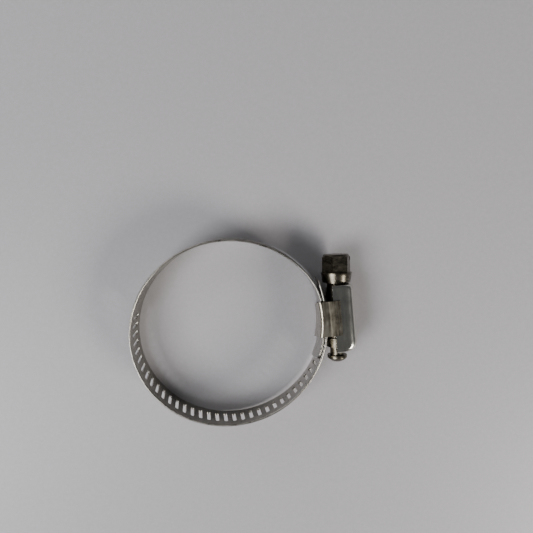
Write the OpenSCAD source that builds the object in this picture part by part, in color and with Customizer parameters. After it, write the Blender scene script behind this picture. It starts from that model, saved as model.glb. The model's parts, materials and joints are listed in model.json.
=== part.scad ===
// Perforated worm-drive hose clamp, lying on its side.
// The hose runs along Z. The housing is on +X. The screw head points to +Y.
// The origin is on the axis of the round part of the loop, half way up the band.
// The band is one strip. It bends as the clamp tightens, so it is cut into short
// sections that hinge on each other.

/* [Band] */
// Width of the band along the hose, mm
band_w = 12.7; // [8:0.1:14.2]
// Thickness of the band, mm
band_t = 0.65; // [0.5:0.05:0.75]
// Radius of the band's middle line inside the housing, mm
channel_r = 30; // [28:0.5:32]
// Radius of the band's middle line round the far side of the hose, mm
far_r = 27.8; // [27.6:0.1:28]
// Radius of the band's middle line on the slotted side, mm
slotted_r = 31.3; // [31.1:0.1:31.5]
// Where the saddle bend starts, degrees round from the housing
shoulder_from = 8; // [6:1:10]
// Where the saddle bend ends
shoulder_to = 37; // [35:1:39]
// Where the round far side starts
far_from = 135; // [133:1:137]
// Length of the inner end past the worm, mm
tongue_l = 14.2; // [12:0.1:15]
// Length of the free end past the worm, mm
tail_l = 11.5; // [10.5:0.1:13]
// Corner radius at both ends of the strip, mm
strip_corner_r = 1.8; // [0.5:0.1:3]
// Gap between the cut sections of the band, mm
section_gap = 0.1; // [0.06:0.01:0.14]

/* [Slots] */
// Spacing of the slots along the band, which is also the worm's pitch, mm
slot_pitch = 2.73; // [2.7:0.01:2.76]
// Width of a slot along the band, mm
slot_w = 1.1; // [1.06:0.01:1.3]
// Length of a slot across the band, mm
slot_l = 6.4; // [5.8:0.1:7]
// Slots from the worm back along the band
slots_back = 37; // [36:1:39]
// Slots from the worm forward to the free end
slots_ahead = 3; // [2:1:3]

/* [Saddle] */
// Length of the saddle along the band, mm
saddle_l = 10.7; // [10:0.1:12]
// Middle of the saddle along the screw, measured from the channel's middle, mm
saddle_y = -1.85; // [-2.5:0.05:-1]
// Slant of the ends of the saddle and of the band's inner end, degrees
end_slant = 9; // [0:1:10]
// Sheet thickness of the saddle, mm
saddle_t = 0.8; // [0.6:0.05:0.9]
// Gap between the saddle and the band's edge, mm
edge_gap = 0.1; // [0.08:0.01:0.2]
// How far the saddle's rails reach into the band's side notches, mm
notch_depth = 0.45; // [0.3:0.05:0.6]

/* [Housing] */
// Length of the housing along the screw, mm
housing_l = 21.1; // [20.5:0.1:21.5]
// Middle of the housing along the screw, measured from the channel's middle, mm
housing_y = -1.4; // [-1.6:0.1:-1.2]
// Width of the housing across the band, mm
housing_w = 12; // [11.6:0.1:12.4]
// Sheet thickness of the housing, mm
housing_t = 0.7; // [0.6:0.05:0.7]
// Height of the crown above the screw's axis, mm
crown_h = 5.1; // [5.1:0.1:5.6]
// Rounding along the crown's two long edges, mm
crown_edge_r = 2.6; // [1.5:0.1:3]
// Rounding of the crown's corner at the screw's head, mm
head_corner_r = 1.4; // [1:0.1:2]
// Rounding of the crown's corner at the screw's tip, mm
tip_corner_r = 3.4; // [2.5:0.1:3.6]

/* [Screw] */
// Outside radius of the worm thread, mm
thread_r = 3.9; // [3.8:0.05:3.9]
// Radius of the worm's core, mm
core_r = 3.25; // [3.1:0.05:3.3]
// Width of the thread at its crest, mm
crest_w = 0.35; // [0.3:0.05:0.45]
// Lean of the screw away from the band's line, degrees
screw_lean = 4; // [3:0.5:4.5]
// Size of the hex head across its flats, mm (5/16 in)
hex_flats = 7.94; // [7:0.01:8]
// Height of the hex head, mm
hex_h = 5.7; // [5:0.1:7]
// Height of the collar under the hex head, mm
collar_h = 3.1; // [2.5:0.1:4]
// Largest radius of the collar, mm
collar_r = 4.9; // [4.7:0.05:5.1]
// Radius of the neck in the housing's end wall, mm
neck_r = 2.2; // [2:0.05:2.4]
// Radius of the riveted button at the tip, mm
button_r = 3.1; // [2.9:0.05:3.3]
// Width of the screwdriver slot, mm
driver_slot_w = 1.2; // [1:0.1:1.5]

/* [Hidden] */
$fn = 96;

band_color = [0.62, 0.61, 0.58];
housing_color = [0.5, 0.5, 0.49];
screw_color = [0.38, 0.37, 0.35];
wrap_gap = 0.2;                              // between the fixed end and the free end that lies on it
free_r = channel_r + band_t + wrap_gap;      // middle line of the free end's arc
slots_free_end = 11;                         // slots behind the worm on the rigid free end
slots_side_end = 22;                         // slots behind the worm where the round far side ends
slots_from_angle = 90;                       // no slots before this path angle
full_path = 400;                             // a path angle past the end of the strip
slots_section = 6;                           // slots on each section of the far side
end_cut = 1.4;                               // length of the inner end that its slanted cut takes off
run_gap = 0.06;                              // running clearance round the screw, radial
slot_lean = atan(slot_pitch / (PI * 2 * (thread_r - 0.2)));   // the worm's lead angle
eps = 0.01;                                  // overlap of joined solids
hair = 0.01;                                 // step that keeps two joined faces from lying in one plane

// ---------- the band's middle line: arcs that meet tangentially, seen from +Z ----------
// An arc is [from angle, to angle, radius]. An angle is that of the band's outward normal.
function unit(a) = [cos(a), sin(a)];
function chord(a) = unit(a[1]) - unit(a[0]);
// A length of band as a turn in degrees at a given radius
function turn_of(l, r) = l / r * 180 / PI;
// The slotted side's arcs end midway between two slots, counted back from the worm.
free_end_from = 360 - turn_of((slots_free_end + 0.5) * slot_pitch, free_r);
far_to = free_end_from - turn_of((slots_side_end - slots_free_end) * slot_pitch, slotted_r);
known_span = channel_r * chord([0, shoulder_from]) + far_r * chord([far_from, far_to])
    + slotted_r * chord([far_to, free_end_from]) + free_r * chord([free_end_from, 360]);
bend = chord([shoulder_from, shoulder_to]);
side = chord([shoulder_to, far_from]);
// The bend past the saddle and the plain side take the radii that close the loop on the free end's layer.
close_x = free_r - channel_r - known_span[0];
close_y = -known_span[1];
close_det = bend[0] * side[1] - bend[1] * side[0];
shoulder_r = (close_x * side[1] - close_y * side[0]) / close_det;
plain_r = (bend[0] * close_y - bend[1] * close_x) / close_det;
tongue_a = turn_of(tongue_l + end_cut, channel_r);
tail_bend = 370;                             // path angle where the free end runs straight on
tail_flat = tail_l - free_r * (tail_bend - 360) * PI / 180;
arcs = [[-tongue_a, shoulder_from, channel_r], [shoulder_from, shoulder_to, shoulder_r],
    [shoulder_to, far_from, plain_r], [far_from, far_to, far_r], [far_to, free_end_from, slotted_r],
    [free_end_from, tail_bend, free_r]];
// Centre of each arc, measured from the channel's centre: a change of radius slides it along the normal.
function centre_from_channel(i) =
    i == 0 ? [0, 0] : centre_from_channel(i - 1) + (arcs[i - 1][2] - arcs[i][2]) * unit(arcs[i][0]);
channel_c = -centre_from_channel(3);
function centre(i) = channel_c + centre_from_channel(i);
function on_arc(i, a) = centre(i) + arcs[i][2] * unit(a);
// Path angle that is a length s of band behind the worm.
function back_angle(s, i = 5, top = 360) =
    let (arc_l = arcs[i][2] * (top - arcs[i][0]) * PI / 180)
    s <= arc_l ? top - turn_of(s, arcs[i][2]) : back_angle(s - arc_l, i - 1, arcs[i][0]);
function arc_of(a) = [for (i = [0:len(arcs) - 1]) if (a >= arcs[i][0] && a <= arcs[i][1]) i][0];

// ---------- hinges: each arc of the band is cut into equal or nearly equal lengths ----------
plain_step = (far_from - shoulder_to) / 3;
far_slots = [slots_side_end + 2 * slots_section, slots_side_end + slots_section];
far_hinges = [for (k = far_slots) back_angle((k + 0.5) * slot_pitch)];
middle_hinge = back_angle((slots_free_end + slots_section + 0.5) * slot_pitch);
hinges = [shoulder_to, shoulder_to + plain_step, shoulder_to + 2 * plain_step, far_from,
    (far_from + far_hinges[0]) / 2, far_hinges[0], far_hinges[1], far_to, middle_hinge, free_end_from];

// ---------- the saddle, the housing and the screw, in the channel's own frame ----------
saddle_play = 0.075;                                 // between the band and the saddle's floor
saddle_out = channel_r - band_t / 2 - saddle_play;         // outer face of the saddle's floor
saddle_in = saddle_out - saddle_t;                   // the face that meets the hose
wall_in = band_w / 2 + edge_gap;
saddle_wall = 0.7;                                   // thickness of the saddle's walls and ears
wall_out = wall_in + saddle_wall;
free_out = free_r + band_t / 2;                      // outer face of the free end
skirt_gap = 0.28;
skirt_r = free_out + skirt_gap;                           // where the housing's skirts end
plate_from = skirt_r - 1.6;                           // the saddle's walls are flat plates from here
ear_l = 1.9;                                         // length of an ear, and of the bend below it
ear_from = skirt_r + ear_l;                            // the saddle's ears lie on the housing from here
ear_to = ear_from + ear_l;
screw_x = 34.75;                                      // screw's axis from the channel's centre
crown_x = screw_x + crown_h;
overhang_x = 33.2;                                   // lower edge of the crown past the saddle
collar_taper = 0.55;
neck_end = -13.45;                                   // along the screw, from the channel's middle
core_end = -10.75;
journal_from = 7.9;
journal_r = 3;
collar_gap = 0.4;                                    // between the housing and the collar
collar_from = housing_y + housing_l / 2 + collar_gap;
thread_from = -9.4;
thread_to = 5.4;
root_w = 0.8;
thread_steps = 24;                                   // rings a turn
mesh_shift = thread_r * tan(screw_lean);             // the lean carries the thread along the band by this much
edge_shift = band_w / 2 * tan(end_slant);            // the slant carries the saddle along each edge by this much
notch_play = 0.7;                                    // free length of a side notch past the saddle's rail
notch_l = saddle_l + notch_play;
floor_from = -24;                                    // the saddle's floor is cut from this much of a ring
floor_angle = 42;
fold_r = 0.9;                                        // rounding of the saddle's folds

module in_channel() translate([channel_c[0], channel_c[1], 0]) children();

module on_screw() in_channel() translate([screw_x, 0, 0]) rotate([0, 0, -screw_lean]) children();

// A round bar along the screw, from y0 to y1.
module screw_bar(y0, y1, r0, r1) translate([0, y0, 0]) rotate([-90, 0, 0]) cylinder(h = y1 - y0, r1 = r0, r2 = r1);

// ---------- band ----------
module arc_strip(i, a0, a1, w = band_w, t = band_t)
    translate([centre(i)[0], centre(i)[1], 0])
        rotate([0, 0, a0])
            rotate_extrude(angle = a1 - a0)
                translate([arcs[i][2] - t / 2, -w / 2])
                    square([t, w]);

// The strip between two path angles, whichever arcs it crosses.
module strip(a0, a1)
    for (i = [0:len(arcs) - 1])
        if (min(a1, arcs[i][1]) > max(a0, arcs[i][0]))
            arc_strip(i, max(a0, arcs[i][0]), min(a1, arcs[i][1]));

module at_path(a) let (i = arc_of(a), p = on_arc(i, a)) translate([p[0], p[1], 0]) rotate([0, 0, a]) children();

// Places children a length s of band behind the worm; s is negative on the free end, whose last part is straight.
module at_length(s) {
    flat_from = -free_r * (tail_bend - 360) * PI / 180;
    if (s < flat_from)
        at_path(tail_bend) translate([0, flat_from - s, 0]) children();
    else
        at_path(back_angle(s)) children();
}

module slot_cuts(a0, a1)
    for (k = [-slots_ahead:slots_back])
        let (a = back_angle(k * slot_pitch))
            if (a > a0 && a < a1)
                at_length(k * slot_pitch)
                    rotate([-slot_lean, 0, 0]) cube([4 * band_t, slot_w, slot_l], center = true);

// Takes the two corners off an end of the strip; dir is 1 at the free end and -1 at the inner end.
module corner_cuts(dir)
    for (side = [-1, 1])
        difference() {
            translate([-2, dir > 0 ? -strip_corner_r : -1,
                side > 0 ? band_w / 2 - strip_corner_r : -band_w / 2 - 1])
                cube([4, strip_corner_r + 1, strip_corner_r + 1]);
            translate([-3, -dir * strip_corner_r, side * (band_w / 2 - strip_corner_r)])
                rotate([0, 90, 0]) cylinder(h = 6, r = strip_corner_r);
        }

// The straight last part of the free end.
module tail_flat_strip()
    at_path(tail_bend)
        translate([-band_t / 2, -eps, -band_w / 2])
            cube([band_t, tail_flat + eps, band_w]);

// The bend past the saddle starts a little inside the channel's arc and is thinner than it by a hair each way.
module fixed_end_strip(a0, a1) {
    arc_strip(0, a0, shoulder_from);
    arc_strip(1, shoulder_from - 0.6, a1, band_w - 2 * hair, band_t - 2 * hair);
}

module band_part(n) {
    half_gap = turn_of(section_gap / 2, far_r);
    last = n == len(hinges);
    a0 = n == 0 ? -tongue_a : hinges[n - 1] + half_gap;
    a1 = last ? tail_bend : hinges[n] - half_gap;
    color(band_color)
        difference() {
            union() {
                if (n > 0) strip(a0, a1);
                if (n == 0) fixed_end_strip(a0, a1);
                if (last) tail_flat_strip();
            }
            slot_cuts(max(a0, slots_from_angle), last ? full_path : a1);
            if (n == 0) fixed_end_cuts();
            if (last) at_length(-tail_l) corner_cuts(1);
        }
}

// The inner end is cut on a slant, and both its edges are notched for the saddle's rails.
module fixed_end_cuts() {
    at_path(-tongue_a + turn_of(end_cut, channel_r))
        rotate([-end_slant, 0, 0]) {
            corner_cuts(-1);
            translate([-3, -10, -band_w]) cube([6, 10, 2 * band_w]);
        }
    for (side = [-1, 1])
        in_channel()
            translate([channel_r - 3, saddle_y + side * edge_shift - notch_l / 2,
                side > 0 ? band_w / 2 - notch_depth - 0.05 : -band_w / 2 - 1])
                cube([5, notch_l, notch_depth + 1.05]);
}

// ---------- saddle ----------
// Half of the saddle's section, with X outward and Y along the hose.
module saddle_floor_half()
    difference() {
        union() {
            translate([saddle_in, 0]) square([saddle_t, wall_out]);
            translate([saddle_in, band_w / 2 - notch_depth + 0.05])
                square([channel_r + band_t / 2 - saddle_in, wall_out - band_w / 2 + notch_depth - 0.05]);
            translate([saddle_in, wall_in]) square([skirt_r + 0.1 - saddle_in, wall_out - wall_in]);
        }
        fold_corner(fold_r);
    }

module fold_corner(r)
    translate([saddle_in, wall_out - r])
        difference() {
            translate([-eps, 0]) square([r + eps, r + eps]);
            translate([r, 0]) circle(r = r);
        }

module saddle_ear_half() {
    ear_z = housing_w / 2;
    inner = wall_in + hair;
    outer = wall_out - hair;
    ear_bend = skirt_r + 0.3;
    polygon([[plate_from, inner], [plate_from, outer], [ear_bend, outer], [ear_from, ear_z + saddle_wall],
        [ear_to, ear_z + saddle_wall], [ear_to, ear_z], [ear_from, ear_z], [ear_bend, inner]]);
}

// The room along the screw that the saddle takes, with its ends on a slant.
module saddle_span()
    translate([0, saddle_y, 0])
        rotate([-end_slant, 0, 0])
            translate([20, -saddle_l / 2 * cos(end_slant), -20]) cube([30, saddle_l * cos(end_slant), 40]);

module saddle()
    color(housing_color)
        in_channel()
            intersection() {
                saddle_span();
                for (side = [0, 1])
                    mirror([0, 0, side]) {
                        rotate([0, 0, floor_from]) rotate_extrude(angle = floor_angle) saddle_floor_half();
                        translate([0, 9, 0]) rotate([90, 0, 0]) linear_extrude(22) saddle_ear_half();
                    }
            }

// ---------- housing ----------
// Section across the screw: a channel open towards the band, round at its two outer edges.
module crown_section(inset) {
    r = crown_edge_r - inset;
    top = crown_x - inset;
    half = housing_w / 2 - inset;
    translate([26, -half]) square([top - r - 26, 2 * half]);
    translate([26, -half + r]) square([top - 26, 2 * half - 2 * r]);
    for (side = [-1, 1]) translate([top - r, side * (half - r)]) circle(r = r);
}

// Outline from above: the crown's two end corners are round.
module crown_plan(inset) {
    half = housing_l / 2 - inset;
    top = crown_x - inset;
    rh = head_corner_r - min(inset, head_corner_r - 0.4);
    rt = tip_corner_r - inset;
    translate([26, -half]) square([top - rt - 26, 2 * half]);
    translate([26, -half + rt]) square([top - rh - 26, 2 * half - rt]);
    translate([26, -half + rt]) square([top - 26, 2 * half - rt - rh]);
    translate([top - rt, -half + rt]) circle(r = rt);
    translate([top - rh, half - rh]) circle(r = rh);
}

module crown_block(inset)
    translate([0, housing_y, 0])
        intersection() {
            translate([0, housing_l, 0]) rotate([90, 0, 0]) linear_extrude(2 * housing_l) crown_section(inset);
            translate([0, 0, -20]) linear_extrude(40) crown_plan(inset);
        }

// Past the saddle the crown's sides are shorter, so the band can leave under them.
module side_cuts()
    difference() {
        translate([24, -20, -20]) cube([overhang_x - 24, 40, 40]);
        saddle_span();
    }

module housing()
    color(housing_color)
        difference() {
            in_channel()
                difference() {
                    crown_block(0);
                    crown_block(housing_t);
                    cylinder(h = 40, r = skirt_r, center = true);
                    side_cuts();
                }
            on_screw() screw_bar(-20, -5, neck_r + run_gap, neck_r + run_gap);
            on_screw() screw_bar(5, 20, journal_r + run_gap, journal_r + run_gap);
        }

// ---------- worm screw ----------
// Corner j of the thread's section at turn angle a; the crest sinks into the core at both ends.
function thread_ramp(a, last) = min(1, min(a, last - a) / 50);
function thread_corner(a, j, last) =
    let (crest = core_r - 0.1 + (thread_r - core_r + 0.1) * thread_ramp(a, last),
        r = j == 0 || j == 3 ? core_r - 0.3 : crest,
        w = j == 0 || j == 3 ? root_w : crest_w,
        turn = a + 270 + 360 * (thread_from + mesh_shift) / slot_pitch)
    [r * sin(turn), thread_from + slot_pitch * a / 360 + (j < 2 ? -w / 2 : w / 2), r * cos(turn)];

module thread() {
    last = 360 * (thread_to - thread_from) / slot_pitch;
    rings = ceil(last / 360 * thread_steps);
    pts = [for (i = [0:rings]) for (j = [0:3]) thread_corner(last * i / rings, j, last)];
    sides = [for (i = [0:rings - 1]) for (j = [0:3])
        let (k = (j + 1) % 4, b = 4 * i, t = 4 * i + 4) each [[b + j, b + k, t + j], [b + k, t + k, t + j]]];
    ends = [[0, 2, 1], [0, 3, 2], [4 * rings, 4 * rings + 1, 4 * rings + 2],
        [4 * rings, 4 * rings + 2, 4 * rings + 3]];
    polyhedron(points = pts, faces = concat(sides, ends));
}

module hex_head() {
    hex_from = collar_from + collar_h;
    corner_r = hex_flats / 2 / cos(30);
    chamfer_from = hex_from + hex_h - 1.1;
    difference() {
        intersection() {
            translate([0, hex_from - eps, 0]) rotate([-90, 0, 0]) rotate([0, 0, 10])
                cylinder(h = hex_h + eps, r = corner_r, $fn = 6);
            union() {
                screw_bar(hex_from - eps, chamfer_from, corner_r + 0.1, corner_r + 0.1);
                screw_bar(chamfer_from, hex_from + hex_h, corner_r + 0.1, hex_flats / 2 - 0.25);
            }
        }
        translate([-8, hex_from + hex_h - 2, -driver_slot_w / 2]) cube([16, 4, driver_slot_w]);
    }
}

module button() {
    disc_h = 0.9;
    dome_h = 1.4;
    dome_r = (button_r * button_r + dome_h * dome_h) / (2 * dome_h);
    screw_bar(neck_end - disc_h, neck_end + eps, button_r, button_r);
    intersection() {
        translate([0, neck_end - disc_h - dome_h + dome_r, 0]) sphere(r = dome_r);
        screw_bar(neck_end - disc_h - dome_h - 1, neck_end - disc_h + eps, button_r, button_r);
    }
}

module worm_screw()
    color(screw_color)
        on_screw() {
            thread();
            screw_bar(core_end, journal_from + eps, core_r, core_r);
            screw_bar(journal_from, collar_from + eps, journal_r, journal_r);
            screw_bar(collar_from, collar_from + collar_h, collar_r - collar_taper, collar_r);
            hex_head();
            screw_bar(neck_end, core_end + eps, neck_r, neck_r);
            button();
        }

housing();
saddle();
worm_screw();
band_part(0);  // band_fixed_end
band_part(1);  // band_section_1
band_part(2);  // band_section_2
band_part(3);  // band_section_3
band_part(4);  // band_section_4
band_part(5);  // band_section_5
band_part(6);  // band_section_6
band_part(7);  // band_section_7
band_part(8);  // band_section_8
band_part(9);  // band_section_9
band_part(10);  // band_slotted_end
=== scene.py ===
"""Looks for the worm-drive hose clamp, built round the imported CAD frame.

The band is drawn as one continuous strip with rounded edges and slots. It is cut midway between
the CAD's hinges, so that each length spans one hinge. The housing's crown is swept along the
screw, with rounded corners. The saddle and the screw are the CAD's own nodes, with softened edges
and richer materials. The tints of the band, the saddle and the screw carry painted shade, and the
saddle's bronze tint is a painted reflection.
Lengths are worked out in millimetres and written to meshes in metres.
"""
import json
import math

import bpy
import numpy as np
from mathutils import Matrix, Vector


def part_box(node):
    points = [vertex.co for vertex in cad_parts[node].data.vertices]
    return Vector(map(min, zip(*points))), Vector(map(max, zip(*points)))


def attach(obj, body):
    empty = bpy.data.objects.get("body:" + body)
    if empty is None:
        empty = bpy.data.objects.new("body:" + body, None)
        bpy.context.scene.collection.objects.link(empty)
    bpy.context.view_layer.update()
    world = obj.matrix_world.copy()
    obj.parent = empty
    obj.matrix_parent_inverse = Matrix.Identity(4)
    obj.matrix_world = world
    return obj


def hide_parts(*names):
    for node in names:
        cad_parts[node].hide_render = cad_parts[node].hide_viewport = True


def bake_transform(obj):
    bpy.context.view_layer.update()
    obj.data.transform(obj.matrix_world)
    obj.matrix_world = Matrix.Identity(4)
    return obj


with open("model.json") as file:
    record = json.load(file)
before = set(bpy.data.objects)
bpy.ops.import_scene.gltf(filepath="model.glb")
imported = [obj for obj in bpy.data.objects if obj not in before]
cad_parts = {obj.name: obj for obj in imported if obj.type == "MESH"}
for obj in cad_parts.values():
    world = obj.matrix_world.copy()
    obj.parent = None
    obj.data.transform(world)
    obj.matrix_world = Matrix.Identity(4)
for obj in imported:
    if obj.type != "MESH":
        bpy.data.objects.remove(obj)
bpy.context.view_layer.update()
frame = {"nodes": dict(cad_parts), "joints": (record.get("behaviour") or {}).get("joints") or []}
MM = 0.001

# ---------- driving sizes of the band, in mm and degrees, as in the CAD ----------
CHANNEL_R = 30.0             # middle line inside the housing
FAR_R = 27.8                 # middle line round the far side
SLOTTED_R = 31.3             # middle line on the slotted side
SHOULDER = (8.0, 37.0)       # the bend past the saddle, as path angles
FAR_FROM = 135.0             # path angle where the far side's arc starts
THICK = 0.65
WRAP_GAP = 0.2               # between the fixed end and the free end that lies on it
PITCH = 2.73                 # of the slots
SLOT = (1.1, 6.4)            # along and across the band
SLOT_CORNER_R = 0.3
WORM_R = 3.7                 # radius at which the worm's thread meets the slots
SLOT_LEAN = math.degrees(math.atan(PITCH / (2 * math.pi * WORM_R)))
SLOTS_BACK, SLOTS_AHEAD = 37, 3           # slots before the worm and past it
SLOTS_FREE_END, SLOTS_SIDE = 11.5, 11     # slot spacings on the free end's arc and on the slotted side
TONGUE, TAIL = 14.2, 11.5    # lengths of the two ends past the worm
TAIL_BEND = 370.0            # path angle where the free end runs straight on
END_SLANT = 9.0              # of the inner end and of the saddle's ends
CORNER_R = 1.8               # of the strip's ends, seen flat
NOTCH_SPAN = (-7.55, 3.85)   # from and to, of the notches that the saddle's rails sit in
NOTCH_DEPTH = 0.5
NOTCH_RAMP = 0.25            # length over which a notch deepens
EDGE = 0.25                  # rounding of the strip's rolled edges
SLOT_EDGE = 0.09             # rounding of the slots' punched edges
FREE_R = CHANNEL_R + THICK + WRAP_GAP
WIDTH = (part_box("band_section_1")[1].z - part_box("band_section_1")[0].z) / MM
HALF = WIDTH / 2
SLANT_SHIFT = HALF * math.tan(math.radians(END_SLANT))   # how far the slant moves things at the strip's edges


# ---------- the band's middle line ----------
def unit(deg):
    return np.array([math.cos(math.radians(deg)), math.sin(math.radians(deg))])


def chord(a, b):
    return unit(b) - unit(a)


def turn_of(length, radius):
    return math.degrees(length / radius)


def band_arcs():
    """The band's arcs as (from angle, to angle, radius, centre), joined tangentially."""
    free_from = 360 - turn_of(SLOTS_FREE_END * PITCH, FREE_R)
    far_to = free_from - turn_of(SLOTS_SIDE * PITCH, SLOTTED_R)
    bend_from, bend_to = SHOULDER
    known = (CHANNEL_R * chord(0, bend_from) + FAR_R * chord(FAR_FROM, far_to)
             + SLOTTED_R * chord(far_to, free_from) + FREE_R * chord(free_from, 360))
    closing = np.array([FREE_R - CHANNEL_R, 0.0]) - known
    bend_r, plain_r = np.linalg.solve(
        np.stack([chord(bend_from, bend_to), chord(bend_to, FAR_FROM)], 1), closing)
    spans = [(-turn_of(TONGUE, CHANNEL_R), bend_from, CHANNEL_R), (bend_from, bend_to, bend_r),
             (bend_to, FAR_FROM, plain_r), (FAR_FROM, far_to, FAR_R),
             (far_to, free_from, SLOTTED_R), (free_from, TAIL_BEND, FREE_R)]
    centres = [np.zeros(2)]
    for (_, a, r), (_, _, next_r) in zip(spans, spans[1:]):
        centres.append(centres[-1] + (r - next_r) * unit(a))
    origin = centres[3]      # the far side's arc is centred on the frame's origin
    return [(a, b, r, c - origin) for (a, b, r), c in zip(spans, centres)]


ARCS = band_arcs()
ARC_STARTS = np.cumsum([0.0] + [r * math.radians(b - a) for a, b, r, _ in ARCS]) - TONGUE
CHANNEL = ARCS[0][3]         # centre of the arc inside the housing


def place(length):
    """Point of the middle line, a length along from above the worm, and its outward normal's angle."""
    i = int(np.clip(np.searchsorted(ARC_STARTS, length, side="right") - 1, 0, len(ARCS) - 1))
    a, b, r, c = ARCS[i]
    angle = a + turn_of(length - ARC_STARTS[i], r)
    if angle <= b or i < len(ARCS) - 1:
        return c + r * unit(angle), angle
    beyond = length - ARC_STARTS[-1]
    return c + r * unit(b) + beyond * unit(b + 90), b


def length_at(angle):
    """Length along the middle line at a path angle."""
    for (a, b, r, _), start in zip(ARCS, ARC_STARTS):
        if angle <= b:
            return start + r * math.radians(angle - a)
    raise ValueError(f"no band at {angle} degrees")


WORM = length_at(360.0)      # the length at which the worm meets the slots
INNER_END, FREE_END = -TONGUE, WORM + TAIL


def slot_length(k):
    """Middle of slot k, counted back from the worm; half numbers fall between slots."""
    return WORM - k * PITCH


flex = sorted((j for j in frame["joints"] if j["name"].startswith("band_flex_")),
              key=lambda j: int(j["name"].rsplit("_", 1)[1]))

SEARCH_STEP = 0.02           # mm between the lengths tried for a hinge
ON_LINE = 0.05               # mm that a hinge may lie off the middle line


def nearest_length(point):
    """Length along the band nearest to a point of its middle line."""
    tries = np.arange(-TONGUE, WORM, SEARCH_STEP)
    gaps = [np.hypot(*(place(t)[0] - point)) for t in tries]
    if min(gaps) > ON_LINE:
        raise ValueError("the band's middle line isn't the CAD's")
    return tries[int(np.argmin(gaps))]


hinges = [nearest_length(np.array(j["pos_m"][:2]) / MM) for j in flex]


# ---------- mesh building ----------
def add_object(name, data):
    made = bpy.data.objects.new(name, data)
    bpy.context.scene.collection.objects.link(made)
    return made


class Shell:
    """Vertices in mm with their own normals, and faces."""

    def __init__(self):
        self.points, self.normals, self.flat, self.faces, self.index = [], [], [], [], {}

    def vertex(self, key, length, height, offset, normal):
        """A vertex at a length and a height on the strip, offset off its middle line.

        normal is (along, up, out). A key that has been used gives its old vertex.
        """
        if key not in self.index:
            point, angle = place(length)
            out, along = unit(angle), unit(angle + 90)
            n = np.array(normal, float)
            n /= np.linalg.norm(n)
            self.index[key] = len(self.points)
            self.points.append((*(point + offset * out), height))
            self.normals.append((*(n[0] * along + n[2] * out), n[1]))
            self.flat.append((length, height))
        return self.index[key]

    def face(self, *ids):
        """A face, without the corners that fall together."""
        ids = [k for n, k in enumerate(ids) if k != ids[n - 1]]
        if len(ids) > 2:
            self.faces.append(ids)

    def build(self, name, material, caps):
        """Makes the object. Faces listed in caps are shaded flat."""
        mesh = bpy.data.meshes.new(name)
        mesh.from_pydata([tuple(c * MM for c in p) for p in self.points], [], self.faces)
        mesh.update()
        loops = [v for f in self.faces for v in f]
        layer = mesh.uv_layers.new(name="strip")
        layer.data.foreach_set("uv", np.array([self.flat[v] for v in loops], float).ravel() * MM)
        corner_normals = []
        for i, f in enumerate(self.faces):
            own = mesh.polygons[i].normal.copy()
            corner_normals += [own if i in caps else self.normals[v] for v in f]
        mesh.polygons.foreach_set("use_smooth", [True] * len(self.faces))
        mesh.normals_split_custom_set(corner_normals)
        mesh.materials.append(material)
        return add_object(name, mesh)


FLAT_ROWS = (0.0, 1.6, 3.2)                       # heights of the grid's rows beside the slots
CORNER_STEPS = (0, 28, 55, 90)                    # degrees round a corner of the strip
SIDE_STEPS = 2 * len(FLAT_ROWS)                   # row steps beside a slot
BLOCK_STEPS = 4                                   # columns across a slot's block
END_STEPS = 4                                     # columns in a rounded end
LEVELS = ("top", 1, 2, 3, 4, "bottom")            # a rounded edge's vertices, from the outer face inwards
PROBE = 0.05                                      # mm each way over which an edge's slope is measured


def rim_half(length, side):
    """Half width of the strip at a length: the notches take a little off each edge."""
    start, end = NOTCH_SPAN
    middle = (start + end) / 2 + side * SLANT_SHIFT
    inside = (end - start) / 2 - abs(length - middle)
    return HALF - NOTCH_DEPTH * float(np.clip(inside / NOTCH_RAMP, 0, 1))


def rows_at(length):
    """Heights of the grid's rows: the inner ones are fixed, the outer ones end at the rounded edge."""
    corner = [(HALF - CORNER_R) + (CORNER_R - EDGE) * math.sin(math.radians(s)) for s in CORNER_STEPS]
    rows = []
    for side in (-1, 1):
        squeeze = (rim_half(length, side) - EDGE - corner[0]) / (corner[-1] - corner[0])
        outer = [corner[0] + (height - corner[0]) * squeeze for height in corner]
        own = [side * height for height in (*FLAT_ROWS[1:], *outer)]
        rows += own[::-1] + [FLAT_ROWS[0]] if side < 0 else own
    return rows


ROWS = len(rows_at(0.0))
FIRST_BLOCK_ROW = len(CORNER_STEPS) - 1
LAST_BLOCK_ROW = ROWS - 1 - FIRST_BLOCK_ROW


def profile(outward, radius):
    """Steps of a rounded edge from the outer face to the inner face, as (reach, offset, normal).

    outward is the edge's direction in the strip's plane, as (along, up).
    """
    top = THICK / 2
    cut = radius * (1 - math.sqrt(0.5))
    steps = [(0.0, top, 0.0, 1.0), (radius - cut, top - cut, 1.0, 1.0), (radius, top - radius, 1.0, 0.0)]
    steps += [(reach, -offset, edge, -face) for reach, offset, edge, face in steps[::-1]]
    return [(reach, offset, (edge * outward[0], edge * outward[1], face))
            for reach, offset, edge, face in steps]


def edge_ring(shell, key, length, height, outward, radius=EDGE):
    """Vertices down a rounded edge at one point of an outline. Its ends are shared with the two faces."""
    return [shell.vertex(key + (level,), length + reach * outward[0], height + reach * outward[1],
                         offset, normal)
            for level, (reach, offset, normal) in zip(LEVELS, profile(outward, radius))]


def join_edges(shell, rings, flip):
    """Faces between neighbouring rings of an outline."""
    for a, b in zip(rings, rings[1:]):
        for i in range(len(a) - 1):
            quad = (a[i], b[i], b[i + 1], a[i + 1])
            shell.face(*(quad if flip else quad[::-1]))


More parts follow.
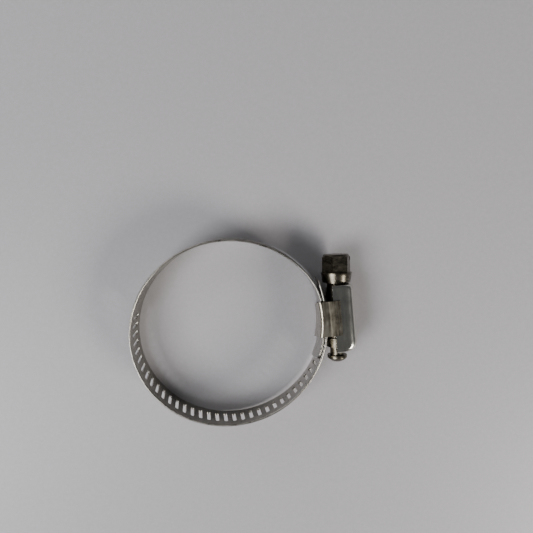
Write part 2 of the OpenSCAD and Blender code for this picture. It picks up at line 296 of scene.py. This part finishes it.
def slot_outline():
    """Points and inward normals round a slot, one for each vertex round its block, in the strip's plane."""
    half_w, half_l = SLOT[0] / 2, SLOT[1] / 2
    flat_w, flat_l = half_w - SLOT_CORNER_R, half_l - SLOT_CORNER_R
    points = []

    def corner(u, v, deg):
        outward = np.array([u * math.cos(math.radians(deg)), v * math.sin(math.radians(deg))])
        return np.array([u * flat_w, v * flat_l]) + SLOT_CORNER_R * outward, -outward

    def side(start, end, normal, inner):
        for t in np.linspace(0, 1, inner + 2)[1:-1]:
            points.append((np.array(start) * (1 - t) + np.array(end) * t, np.array(normal, float)))

    # Each side starts in the middle of one corner. A corner has three of the points.
    for u, v, is_short in ((-1, -1, True), (1, -1, False), (1, 1, True), (-1, 1, False)):
        points.append(corner(u, v, 45))
        points.append(corner(u, v, 90 if is_short else 0))
        if is_short:
            side((u * flat_w, v * half_l), (-u * flat_w, v * half_l), (0, -v), BLOCK_STEPS - 3)
            points.append(corner(-u, v, 90))
        else:
            side((u * half_w, v * flat_l), (u * half_w, -v * flat_l), (-u, 0), SIDE_STEPS - 3)
            points.append(corner(u, -v, 0))
    lean = math.radians(SLOT_LEAN)
    turn = np.array([[math.cos(lean), math.sin(lean)], [-math.sin(lean), math.cos(lean)]])
    return [(turn @ point, turn @ normal) for point, normal in points]


SLOT_OUTLINE = slot_outline()


def grid_column(shell, key, places):
    """One column of the grid, from its (length, height) places: both faces' vertices and both edges."""
    top = [shell.vertex((key, row, "top"), *at, THICK / 2, (0, 0, 1)) for row, at in enumerate(places)]
    bottom = [shell.vertex((key, row, "bottom"), *at, -THICK / 2, (0, 0, -1))
              for row, at in enumerate(places)]
    rims = []
    for row, side in ((0, -1), (ROWS - 1, 1)):
        length = places[row][0]
        slope = (rim_half(length + PROBE, side) - rim_half(length - PROBE, side)) / (2 * PROBE)
        outward = np.array([-slope, side], float)
        rims.append(edge_ring(shell, (key, row), *places[row], outward / np.linalg.norm(outward)))
    return top, bottom, rims


def join_columns(shell, a, b, hole=()):
    """Faces between two neighbouring columns of the grid, apart from the rows of a hole."""
    (top_a, bottom_a, rims_a), (top_b, bottom_b, rims_b) = a, b
    for row in range(ROWS - 1):
        if row not in hole:
            shell.face(top_a[row], top_b[row], top_b[row + 1], top_a[row + 1])
            shell.face(bottom_a[row + 1], bottom_b[row + 1], bottom_b[row], bottom_a[row])
    join_edges(shell, [rims_a[0], rims_b[0]], False)
    join_edges(shell, [rims_a[1], rims_b[1]], True)


def slot_ring(shell, grid, first, middle):
    """Faces from a block's boundary to its slot's outline on both sides, and the slot's rounded wall."""
    low, high, last = FIRST_BLOCK_ROW, LAST_BLOCK_ROW, first + BLOCK_STEPS
    loop = [(c, low) for c in range(first, last)] + [(last, row) for row in range(low, high)]
    loop += [(c, high) for c in range(last, first, -1)] + [(first, row) for row in range(high, low, -1)]
    rings = []
    for i, (point, inward) in enumerate(SLOT_OUTLINE):
        inset = point - SLOT_EDGE * inward
        rings.append(edge_ring(shell, ("slot", first, i), middle + inset[0], inset[1], inward, SLOT_EDGE))
    for i, (c, row) in enumerate(loop):
        after = (i + 1) % len(loop)
        next_c, next_row = loop[after]
        a, b = rings[i], rings[after]
        shell.face(grid[c][0][row], grid[next_c][0][next_row], b[0], a[0])
        shell.face(grid[next_c][1][next_row], grid[c][1][row], a[-1], b[-1])
    join_edges(shell, rings + rings[:1], True)


def cap(shell, column, at_start):
    """Closes a seam between two lengths of the band, and gives its face's number."""
    top, bottom, rims = column
    loop = top + rims[1][1:-1] + bottom[::-1] + rims[0][1:-1][::-1]
    shell.faces.append(loop if at_start else loop[::-1])
    return len(shell.faces) - 1


def end_shape(end, direction, slant):
    """Outline of a rounded end of the strip: one place and one outward direction for each row."""
    tilt = math.tan(math.radians(slant))
    places, outwards = [], []
    for height in rows_at(end):
        over = abs(height) - (HALF - CORNER_R)
        if over > 0:
            sine = float(np.clip(over / (CORNER_R - EDGE), 0, 1))
            cosine = math.sqrt(1 - sine * sine)
            inset = CORNER_R - (CORNER_R - EDGE) * cosine
            outwards.append(np.array([direction * cosine, math.copysign(sine, height)]))
        else:
            inset = EDGE
            outwards.append(np.array([direction, 0.0]))
        places.append((end - direction * inset + height * tilt, height))
    return places, outwards


def round_end(shell, column, from_length, end, direction, slant):
    """The rounded end of the strip, past its last column."""
    places, outwards = end_shape(end, direction, slant)
    last = column
    for step in range(1, END_STEPS + 1):
        t = step / END_STEPS
        mixed = [((1 - t) * from_length + t * length, (1 - t) * from_height + t * height)
                 for from_height, (length, height) in zip(rows_at(from_length), places)]
        new = grid_column(shell, ("end", direction, step), mixed)
        join_columns(shell, *((last, new) if direction > 0 else (new, last)))
        last = new
    rings = [last[2][0]]
    for row in range(1, ROWS - 1):
        rings.append(edge_ring(shell, (("end", direction, END_STEPS), row), *places[row], outwards[row]))
    rings.append(last[2][1])
    join_edges(shell, rings, direction < 0)


def strip_piece(name, columns, slots, material, first_end=None, last_end=None):
    """One length of the band: a grid of columns with a hole at each slot, closed at both ends.

    An end that isn't a seam is rounded, and is given as (length, direction, slant).
    """
    shell = Shell()
    grid = [grid_column(shell, c, [(length, height) for height in rows_at(length)])
            for c, length in enumerate(columns)]
    blocks = {}
    for k in slots:
        block_from = slot_length(k) - PITCH / 2
        blocks[int(np.argmin([abs(length - block_from) for length in columns]))] = slot_length(k)
    covered = {first + i for first in blocks for i in range(BLOCK_STEPS)}
    for c in range(len(columns) - 1):
        hole = range(FIRST_BLOCK_ROW, LAST_BLOCK_ROW) if c in covered else ()
        join_columns(shell, grid[c], grid[c + 1], hole)
    for first, middle in blocks.items():
        slot_ring(shell, grid, first, middle)
    caps = set()
    for which, end in ((0, first_end), (-1, last_end)):
        if end is None:
            caps.add(cap(shell, grid[which], which == 0))
        else:
            round_end(shell, grid[which], columns[which], *end)
    return shell.build(name, material, caps)


# ---------- materials ----------
def new_material(name):
    material = bpy.data.materials.new(name)
    material.use_nodes = True
    tree = material.node_tree
    return material, tree, tree.nodes["Principled BSDF"]


def node(tree, kind, **values):
    """A new node. Each value sets the attribute of its name, or else the input of its name."""
    made = tree.nodes.new(kind)
    for key, value in values.items():
        if hasattr(made, key):
            setattr(made, key, value)
        else:
            made.inputs[key.replace("_", " ")].default_value = value
    return made


def ramp(tree, source, stops):
    """A colour ramp with (position, colour) stops."""
    made = tree.nodes.new("ShaderNodeValToRGB")
    elements = made.color_ramp.elements
    while len(elements) < len(stops):
        elements.new(0.5)
    for element, (position, colour) in zip(elements, stops):
        element.position = position
        element.color = (*colour, 1.0)
    tree.links.new(source, made.inputs["Fac"])
    return made.outputs["Color"]


TINT_STOPS = (0.32, 0.5, 0.68)      # where on the mixed noise the dark, middle and light tints lie
POLISH_STOPS = (0.3, 0.7)           # and where the smoothest and the roughest polish lie
GRAIN_DEPTH = 0.00004               # metres


def steel(name, tints, roughness, grain_scale, uv=None, bump=0.12, mottle=260.0):
    """Brushed steel: fine grain drawn one way, cloudy colour, and uneven polish.

    tints are the darkest, middle and lightest colours. grain_scale stretches the grain along each axis.
    """
    material, tree, shader = new_material(name)
    links = tree.links
    if uv:
        coords = node(tree, "ShaderNodeUVMap", uv_map=uv).outputs["UV"]
    else:
        coords = node(tree, "ShaderNodeTexCoord").outputs["Object"]
    stretch = node(tree, "ShaderNodeMapping", Scale=grain_scale)
    links.new(coords, stretch.inputs["Vector"])
    grain = node(tree, "ShaderNodeTexNoise", Scale=1.0, Detail=5.0, Roughness=0.65)
    links.new(stretch.outputs["Vector"], grain.inputs["Vector"])
    cloud = node(tree, "ShaderNodeTexNoise", Scale=mottle, Detail=4.0, Roughness=0.6)
    links.new(node(tree, "ShaderNodeTexCoord").outputs["Object"], cloud.inputs["Vector"])
    mix = node(tree, "ShaderNodeMix", data_type="FLOAT", Factor=0.5)
    links.new(grain.outputs["Fac"], mix.inputs[2])
    links.new(cloud.outputs["Fac"], mix.inputs[3])
    colour = ramp(tree, mix.outputs[0], list(zip(TINT_STOPS, tints)))
    links.new(colour, shader.inputs["Base Color"])
    polish = ramp(tree, mix.outputs[0], [(at, (value,) * 3) for at, value in zip(POLISH_STOPS, roughness)])
    links.new(polish, shader.inputs["Roughness"])
    relief = node(tree, "ShaderNodeBump", Strength=bump, Distance=GRAIN_DEPTH)
    links.new(grain.outputs["Fac"], relief.inputs["Height"])
    links.new(relief.outputs["Normal"], shader.inputs["Normal"])
    shader.inputs["Metallic"].default_value = 1.0
    return material


# The band's tints are set darker than the housing's steel. This is painted shade, standing in for the dark
# room that its inner face reflects. Its grain and mottle are real.
band_steel = steel("band_steel", ((0.24, 0.225, 0.195), (0.34, 0.325, 0.29), (0.46, 0.44, 0.40)),
                   roughness=(0.22, 0.38), grain_scale=(220.0, 5200.0, 1.0), uv="strip")
housing_steel = steel("housing_steel", ((0.47, 0.465, 0.425), (0.52, 0.515, 0.47), (0.58, 0.575, 0.53)),
                      roughness=(0.16, 0.25), grain_scale=(1500.0, 180.0, 1500.0), bump=0.07)
# The saddle's warm bronze tint is a painted reflection of brown surroundings, and its dark tints are painted
# shade. Its streaked grain and mottle are real brushing.
saddle_steel_painted_reflection_and_shade = steel("saddle_steel_painted_reflection_and_shade", ((0.17, 0.145, 0.105), (0.31, 0.28, 0.22), (0.50, 0.47, 0.40)),
                     roughness=(0.20, 0.38), grain_scale=(1900.0, 120.0, 1900.0))
# The screw's very dark tints are painted shade on its head and neck, darker than its steel's own tone.
screw_steel = steel("screw_steel", ((0.05, 0.044, 0.034), (0.10, 0.09, 0.07), (0.19, 0.17, 0.135)),
                    roughness=(0.22, 0.36), grain_scale=(700.0, 1400.0, 700.0), bump=0.2, mottle=420.0)

# ---------- the band's pieces ----------
GRID_STEP = 0.8              # longest plain column, mm
SAME = 1e-6                  # mm within which two lengths are one place
SHORTEST = 1e-3              # mm, under which no plain column is needed
LAST_SEAM = 0.3              # from the last column to where the free end's corners start


def plain_columns(start, end):
    """Evenly spaced columns past start, up to end."""
    if end - start <= SHORTEST:
        return []
    return list(np.linspace(start, end, max(2, math.ceil((end - start) / GRID_STEP) + 1))[1:])


def columns_between(start, end):
    """Column lengths between two seams, with whole blocks for the slots on the way."""
    slots = [k for k in range(-SLOTS_AHEAD, SLOTS_BACK + 1)
             if start - SAME <= slot_length(k + 0.5) and slot_length(k - 0.5) <= end + SAME]
    columns, at = [start], start
    for k in sorted(slots, reverse=True):
        block_from = slot_length(k + 0.5)
        columns += plain_columns(at, block_from)
        columns += [block_from + PITCH * i / BLOCK_STEPS for i in range(1, BLOCK_STEPS + 1)]
        at = block_from + PITCH
    return columns + plain_columns(at, end), slots


def with_notch_marks(columns):
    """Adds columns where the edge notches start and end."""
    start, end = NOTCH_SPAN
    marks = [mark + side * SLANT_SHIFT + inside
             for mark, inside in ((start, NOTCH_RAMP), (start, 0.0), (end, 0.0), (end, -NOTCH_RAMP))
             for side in (-1, 1)]
    return sorted(columns + [m for m in marks if columns[0] < m < columns[-1]])


def seams():
    """Where the band is cut: midway between hinges, and between two slots on the slotted part."""
    cuts = []
    for a, b in zip(hinges, hinges[1:]):
        middle = (a + b) / 2
        k = (WORM - middle) / PITCH
        if k < SLOTS_BACK + 0.5:
            middle = slot_length(math.floor(k) + 0.5)
        cuts.append(middle)
    return cuts


cuts = [INNER_END + 2 * CORNER_R] + seams() + [FREE_END - CORNER_R - LAST_SEAM]
band_pieces = []
for i, hinge in enumerate(hinges):
    start, end = cuts[i], cuts[i + 1]
    columns, slots = columns_between(start, end)
    first, last = i == 0, i == len(hinges) - 1
    if first:
        columns = with_notch_marks(columns)
    piece = strip_piece(f"band_length_{i + 1}", columns, slots, band_steel,
                        first_end=(INNER_END, -1, END_SLANT) if first else None,
                        last_end=(FREE_END, 1, 0.0) if last else None)
    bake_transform(piece)
    band_pieces.append(piece)
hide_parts("band_fixed_end", "band_section_1")
for i, piece in enumerate(band_pieces[1:-1], start=2):
    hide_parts(f"band_section_{i}")
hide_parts("band_slotted_end")

# ---------- the saddle and the screw ----------
WELD_WITHIN = 0.002          # mm between points that are made one
FLAT_WITHIN = 0.5            # degrees between faces that are made one


def round_edges(obj, width, angle, weight):
    """Bevels the edges that are sharper than an angle, and keeps the flats between them looking flat."""
    bevel = obj.modifiers.new("edges", "BEVEL")
    bevel.width = width * MM
    bevel.segments = 3
    bevel.limit_method = "ANGLE"
    bevel.angle_limit = math.radians(angle)
    shading = obj.modifiers.new("shading", "WEIGHTED_NORMAL")
    shading.keep_sharp = True
    shading.weight = weight


def soften(name, material, width, angle):
    """Rounds a CAD node's edges with modifiers and gives it its material."""
    obj = frame["nodes"][name]
    obj.data.materials.clear()
    obj.data.materials.append(material)
    merge = obj.modifiers.new("merge", "WELD")
    merge.merge_threshold = WELD_WITHIN * MM
    flat = obj.modifiers.new("flat", "DECIMATE")
    flat.decimate_type = "DISSOLVE"
    flat.angle_limit = math.radians(FLAT_WITHIN)
    round_edges(obj, width, angle, weight=60)
    for polygon in obj.data.polygons:
        polygon.use_smooth = True


# ---------- the housing's crown ----------
# It is swept along the screw from its tip end to its head end, as in the CAD, with rounded end walls.
# Its x and y are measured from the channel's centre.
SHEET = 0.7                                      # thickness
CROWN_EDGE_R = 2.6                               # of its long edges
HEAD_R, TIP_R = 1.4, 3.4                         # of its two corners seen from above
ROUND_TIP, ROUND_HEAD = 1.5, 0.8                 # how far the end walls are rounded into the sides
LEAST_ROUND = 0.15                               # the same inside the head end's wall
CROWN_FOOT = 33.2                                # its lower edge past the saddle
SKIRT_GAP = 0.28                                 # between the free end and its lower edge
SKIRT_R = FREE_R + THICK / 2 + SKIRT_GAP         # its lower edge under the saddle
FOOT_BAND = 0.3                                  # height of the row of faces over its lower edge
SCREW_AXIS, SCREW_LEAN = 34.75, 4.0
BEARINGS = (2.26, 3.06)                          # radii of the end walls' openings, at the tip and the head
SADDLE_LENGTH, SADDLE_MIDDLE = 10.7, -1.85
FLANK = 6.0                                      # distance of its flanks from the middle
SADDLE_SHIFT = FLANK * math.tan(math.radians(END_SLANT))   # how far the slant moves the saddle there
FOOT_STEP = 0.012                                # half the length in which the lower edge steps down
STATIONS = [-5.0, -3.6, -1.9, -0.2, 1.3, 3.5, 6.0]       # sections between its rounded ends
CROWN_SHARP = 32                                 # degrees between faces, from which an edge stays sharp
ARC_STEPS = 9
QUARTER = [math.radians(90 * i / ARC_STEPS) for i in range(ARC_STEPS + 1)]


def drop(distance, radius):
    """How far a rounded corner lies below its flat, at a distance from the end."""
    over = min(max(radius - distance, 0.0), radius)
    return radius - math.sqrt(radius * radius - over * over)


class Crown:
    """The crown's outer or inner surface: inset 0 is the outer one and inset SHEET the inner one."""

    def __init__(self, inset):
        low, high = (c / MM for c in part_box("housing"))
        self.top = high.x - CHANNEL[0] - inset
        self.half = high.z - inset
        self.tip = low.y - CHANNEL[1] + inset
        self.head = high.y - CHANNEL[1] - inset
        self.tip_r, self.head_r = TIP_R - inset, HEAD_R - inset
        self.round_tip = ROUND_TIP - inset
        self.round_head = max(ROUND_HEAD - inset, LEAST_ROUND)
        self.edge_r = CROWN_EDGE_R - inset

    def stations(self, middle):
        first = [self.tip + self.tip_r * (1 - math.cos(a)) for a in QUARTER]
        last = [self.head - self.head_r * (1 - math.cos(a)) for a in QUARTER]
        return first + middle + last[::-1]

    def section(self, y):
        """Points of the section from one lower edge over the crown to the other, as (x, z)."""
        from_tip, from_head = y - self.tip, self.head - y
        top = self.top - drop(from_tip, self.tip_r) - drop(from_head, self.head_r)
        half = self.half - drop(from_tip, self.round_tip) - drop(from_head, self.round_head)
        r = self.edge_r
        flank = [(CROWN_FOOT + FOOT_BAND, half)]
        flank += [(top - r + r * math.sin(a), half - r + r * math.cos(a)) for a in QUARTER]
        below = [(x, -z) for x, z in [(foot(y, -1), half)] + flank]
        above = [(foot(y, 1), half)] + flank
        return below + [(top, 0.0)] + above[::-1]


def foot(y, side):
    """The crown's lower edge: it reaches down to the band's channel under the saddle."""
    under = abs(y - SADDLE_MIDDLE - side * SADDLE_SHIFT) < SADDLE_LENGTH / 2
    return math.sqrt(SKIRT_R ** 2 - y * y) if under else CROWN_FOOT


def opening(y, radius):
    """Points round the screw's opening in an end wall, from one side of the foot to the other."""
    centre = SCREW_AXIS + y * math.tan(math.radians(SCREW_LEAN))
    start = math.acos((CROWN_FOOT - centre) / radius)
    turns = np.linspace(-start, start, 2 * ARC_STEPS + 1)
    return [(centre + radius * math.cos(a), radius * math.sin(a)) for a in turns]


def end_wall(outer, inner, out_mouth, in_mouth):
    """Faces of the crown's end wall at its tip, round the screw's opening."""
    faces = [outer + out_mouth[::-1], in_mouth + inner[::-1]]
    faces += [(out_mouth[n], out_mouth[n + 1], in_mouth[n + 1], in_mouth[n])
              for n in range(len(out_mouth) - 1)]
    faces.append((outer[0], out_mouth[0], in_mouth[0], inner[0]))
    faces.append((out_mouth[-1], outer[-1], inner[-1], in_mouth[-1]))
    return faces


def crown():
    saddle_ends = [SADDLE_MIDDLE + end * SADDLE_LENGTH / 2 + side * SADDLE_SHIFT
                   for end in (-1, 1) for side in (-1, 1)]
    middle = sorted([y + step for y in saddle_ends for step in (-FOOT_STEP, FOOT_STEP)] + STATIONS)
    points, faces, grids, mouths = [], [], [], []

    def add(x, y, z):
        points.append(((x + CHANNEL[0]) * MM, (y + CHANNEL[1]) * MM, z * MM))
        return len(points) - 1

    for surface in (Crown(0.0), Crown(SHEET)):
        rows = surface.stations(middle)
        grids.append([[add(x, y, z) for x, z in surface.section(y)] for y in rows])
        mouths.append([[add(x, y, z) for x, z in opening(y, radius)]
                       for y, radius in zip((surface.tip, surface.head), BEARINGS)])
    outer, inner = grids
    for i in range(len(outer) - 1):
        for j in range(len(outer[0]) - 1):
            faces.append((outer[i + 1][j], outer[i + 1][j + 1], outer[i][j + 1], outer[i][j]))
            faces.append((inner[i][j], inner[i][j + 1], inner[i + 1][j + 1], inner[i + 1][j]))
        faces.append((inner[i][0], inner[i + 1][0], outer[i + 1][0], outer[i][0]))
        faces.append((inner[i + 1][-1], inner[i][-1], outer[i][-1], outer[i + 1][-1]))
    faces += end_wall(outer[0], inner[0], mouths[0][0], mouths[1][0])
    faces += [f[::-1] for f in end_wall(outer[-1], inner[-1], mouths[0][1], mouths[1][1])]
    mesh = bpy.data.meshes.new("crown")
    mesh.from_pydata(points, [], faces)
    mesh.update()
    mesh.polygons.foreach_set("use_smooth", [True] * len(faces))
    mesh.set_sharp_from_angle(angle=math.radians(CROWN_SHARP))
    mesh.materials.append(housing_steel)
    piece = add_object("crown", mesh)
    round_edges(piece, width=0.13, angle=40, weight=50)
    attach(piece, "housing_and_fixed_end")
    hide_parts("housing")


crown()
soften("saddle", saddle_steel_painted_reflection_and_shade, width=0.16, angle=25)
soften("worm_screw", screw_steel, width=0.12, angle=35)

# ---------- the floor, the lights and the camera ----------
FLOOR_REACH = 0.6            # metres from the origin to each side
FLOOR_GAP = 0.00002          # metres between the floor and what rests on it
rest_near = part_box("saddle")[0]
rest_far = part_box("band_section_6")[0]
slope = (rest_near.z - rest_far.z) / (rest_near.x - rest_far.x)   # from the far rim to the saddle


def pale_floor():
    """A plain sheet under the clamp, which rests on the saddle and on the band's far rim."""
    corners = [(x, y, rest_far.z + slope * (x - rest_far.x) - FLOOR_GAP)
               for x, y in ((-FLOOR_REACH, -FLOOR_REACH), (FLOOR_REACH, -FLOOR_REACH),
                            (FLOOR_REACH, FLOOR_REACH), (-FLOOR_REACH, FLOOR_REACH))]
    mesh = bpy.data.meshes.new("floor")
    mesh.from_pydata(corners, [], [(0, 1, 2, 3)])
    floor = add_object("floor", mesh)
    material, tree, shader = new_material("floor")
    speck = node(tree, "ShaderNodeTexNoise", Scale=900.0, Detail=3.0)
    tree.links.new(node(tree, "ShaderNodeTexCoord").outputs["Object"], speck.inputs["Vector"])
    colour = ramp(tree, speck.outputs["Fac"], [(0.3, (0.368, 0.358, 0.372)), (0.7, (0.394, 0.383, 0.398))])
    tree.links.new(colour, shader.inputs["Base Color"])
    shader.inputs["Roughness"].default_value = 0.45
    mesh.materials.append(material)


def area_light(name, position, size, energy, colour, gloss=1.0):
    """A rectangular light aimed at the origin. gloss scales its reflections."""
    data = bpy.data.lights.new(name, "AREA")
    data.shape = "RECTANGLE"
    data.size, data.size_y = size
    data.energy = energy
    data.color = colour
    data.specular_factor = gloss
    light = add_object(name, data)
    light.location = position
    light.rotation_mode = "QUATERNION"
    light.rotation_quaternion = (-Vector(position)).to_track_quat("-Z", "Y")


pale_floor()
area_light("window", (0.49, -0.42, 0.36), size=(0.26, 0.24), energy=5.2, colour=(1.0, 0.96, 0.90))
area_light("room", (-0.56, -0.26, 0.70), size=(0.5, 0.5), energy=9.4, colour=(0.98, 0.98, 1.0), gloss=0.14)
area_light("far_room", (-0.50, 0.62, 0.50), size=(0.5, 0.4), energy=2.4, colour=(0.98, 0.98, 1.0), gloss=0.3)
world = bpy.data.worlds.new("room")
world.use_nodes = True
background = world.node_tree.nodes["Background"]
background.inputs["Color"].default_value = (0.60, 0.61, 0.63, 1.0)
background.inputs["Strength"].default_value = 0.16
bpy.context.scene.world = world

# The camera looks almost straight down on the clamp, from a phone's height.
CAMERA_AT = (14.00, 33.08, 167.64)          # mm
CAMERA_TURN = (-0.0816, -0.0136, -0.0928)   # rotation vector, radians
FOCAL_PER_WIDTH = 1.0096                    # focal length over the picture's width
SENSOR = 36.0                               # mm
camera_data = bpy.data.cameras.new("camera")
camera_data.sensor_width = SENSOR
camera_data.lens = SENSOR * FOCAL_PER_WIDTH
camera_data.clip_start = 0.01
camera = add_object("camera", camera_data)
turn = Vector(CAMERA_TURN)
camera.matrix_world = Matrix.Translation(Vector(CAMERA_AT) * MM) @ Matrix.Rotation(turn.length, 4, turn)
bpy.context.scene.camera = camera
